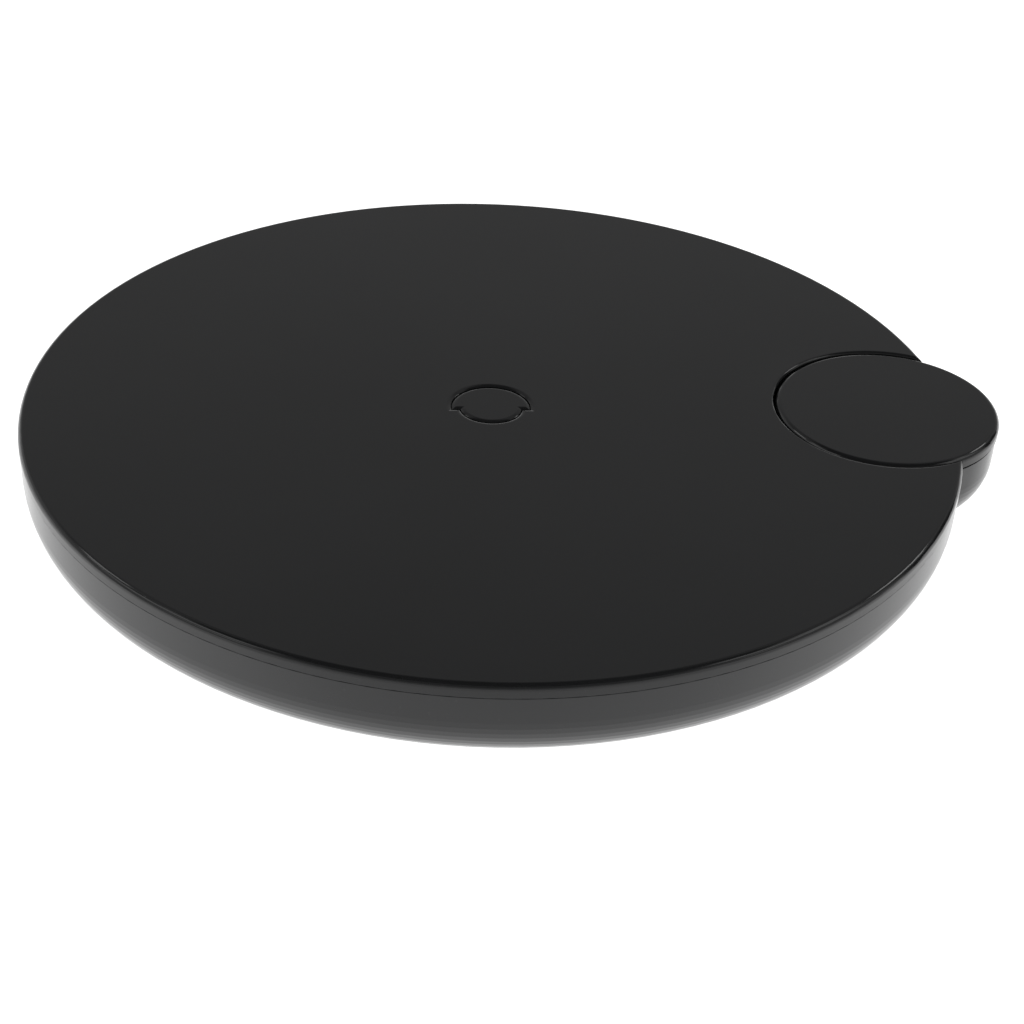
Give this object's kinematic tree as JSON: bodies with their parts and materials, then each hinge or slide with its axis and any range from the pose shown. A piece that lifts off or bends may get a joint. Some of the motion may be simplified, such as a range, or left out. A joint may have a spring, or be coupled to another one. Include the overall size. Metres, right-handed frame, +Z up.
{
  "type": "turntable display stand",
  "caption": "Low round battery-driven display turntable: flat disc table on a hidden ball-bearing foot, with a push-button disc let into its edge and a flush centre plug.",
  "frame": {"origin": "centre of the round table, on the resting face of the middle rubber pad", "axes": "+Z up along the turning axis, +X towards the push button"},
  "size_m": [0.2097, 0.2, 0.024],
  "materials": {
    "deck": "gloss black",
    "shell": "gloss black",
    "button": "gloss black",
    "plug": "gloss black",
    "foot": "fine matt texture",
    "door": "fine matt texture",
    "rubber": "matt",
    "acetal": "satin off-white",
    "steel": "satin",
    "ball_steel": "polished",
    "nickel": "bright",
    "board": "green solder mask",
    "switch": "satin black",
    "cell": "plain dark sleeve",
    "lead": "insulated wire"
  },
  "bodies": {
    "foot": {"base_plate": "foot", "foot_pads": "rubber", "base_gear": "acetal", "base_gear_screws": "steel", "retaining_washer": "acetal"},
    "cage": {"ball_cage": "acetal", "bearing_balls": "ball_steel"},
    "table": {"lower_shell": "shell", "pivot_bush": "acetal", "top_plate": "deck", "case_screws": "steel", "return_spring": "steel", "button_guide": "acetal", "guide_screws": "steel", "control_board": "board", "board_screws": "steel", "switch_body": "switch", "drive_motor": "steel", "motor_clamp": "nickel", "motor_clamp_screws": "steel", "gear_pins": "steel", "gear_plate": "switch", "gear_plate_screws": "steel", "aa_cells": "cell", "contact_plates": "nickel", "contact_springs": "nickel", "battery_leads": "lead", "motor_leads": "lead"},
    "second_wheel": {"second_gear": "acetal"},
    "first_wheel": {"first_gear": "acetal"},
    "rotor": {"motor_shaft": "steel", "motor_pinion": "acetal"},
    "button": {"button_cap": "button", "stem_clip": "steel"},
    "plunger": {"switch_plunger": "switch"},
    "plug": {"centre_plug": "plug"},
    "door": {"battery_door": "door"}
  },
  "joints": [
    {"name": "table_turn", "type": "hinge", "parent": "foot", "child": "table", "pos_m": [0, 0, 0], "axis": [0, 0, 1], "continuous": true},
    {"name": "cage_turn", "type": "hinge", "parent": "foot", "child": "cage", "pos_m": [0, 0, 0], "axis": [0, 0, 1], "continuous": true},
    {"name": "second_gear_turn", "type": "hinge", "parent": "table", "child": "second_wheel", "pos_m": [0.014, 0.02425, 0.0106], "axis": [0, 0, 1], "continuous": true},
    {"name": "first_gear_turn", "type": "hinge", "parent": "table", "child": "first_wheel", "pos_m": [0.02275, 0.0394, 0.0152], "axis": [0, 0, 1], "continuous": true},
    {"name": "motor_turn", "type": "hinge", "parent": "table", "child": "rotor", "pos_m": [0.04025, 0.0394, 0.0182], "axis": [0, 0, 1], "continuous": true},
    {"name": "button_press", "type": "slide", "parent": "table", "child": "button", "axis": [0, 0, -1], "range_m": [0, 0.0004], "stiffness_N_per_m": 2500, "springref_m": -0.0002, "deforming": ["return_spring"]},
    {"name": "plunger_press", "type": "slide", "parent": "table", "child": "plunger", "axis": [0, 0, -1], "range_m": [0, 0.0004]},
    {"name": "plug_lift", "type": "slide", "parent": "table", "child": "plug", "axis": [0, 0, 1], "range_m": [0, 0.012]},
    {"name": "door_swing", "type": "hinge", "parent": "table", "child": "door", "pos_m": [-0.0835, 0, 0.0058], "axis": [0, 1, 0], "range_deg": [0, 95]}
  ],
  "couplings": [
    {"joint": "cage_turn", "follows": "table_turn", "ratio": 0.5},
    {"joint": "second_gear_turn", "follows": "table_turn", "ratio": 6},
    {"joint": "first_gear_turn", "follows": "table_turn", "ratio": -36},
    {"joint": "motor_turn", "follows": "table_turn", "ratio": 216},
    {"joint": "plunger_press", "follows": "button_press", "ratio": 1}
  ]
}
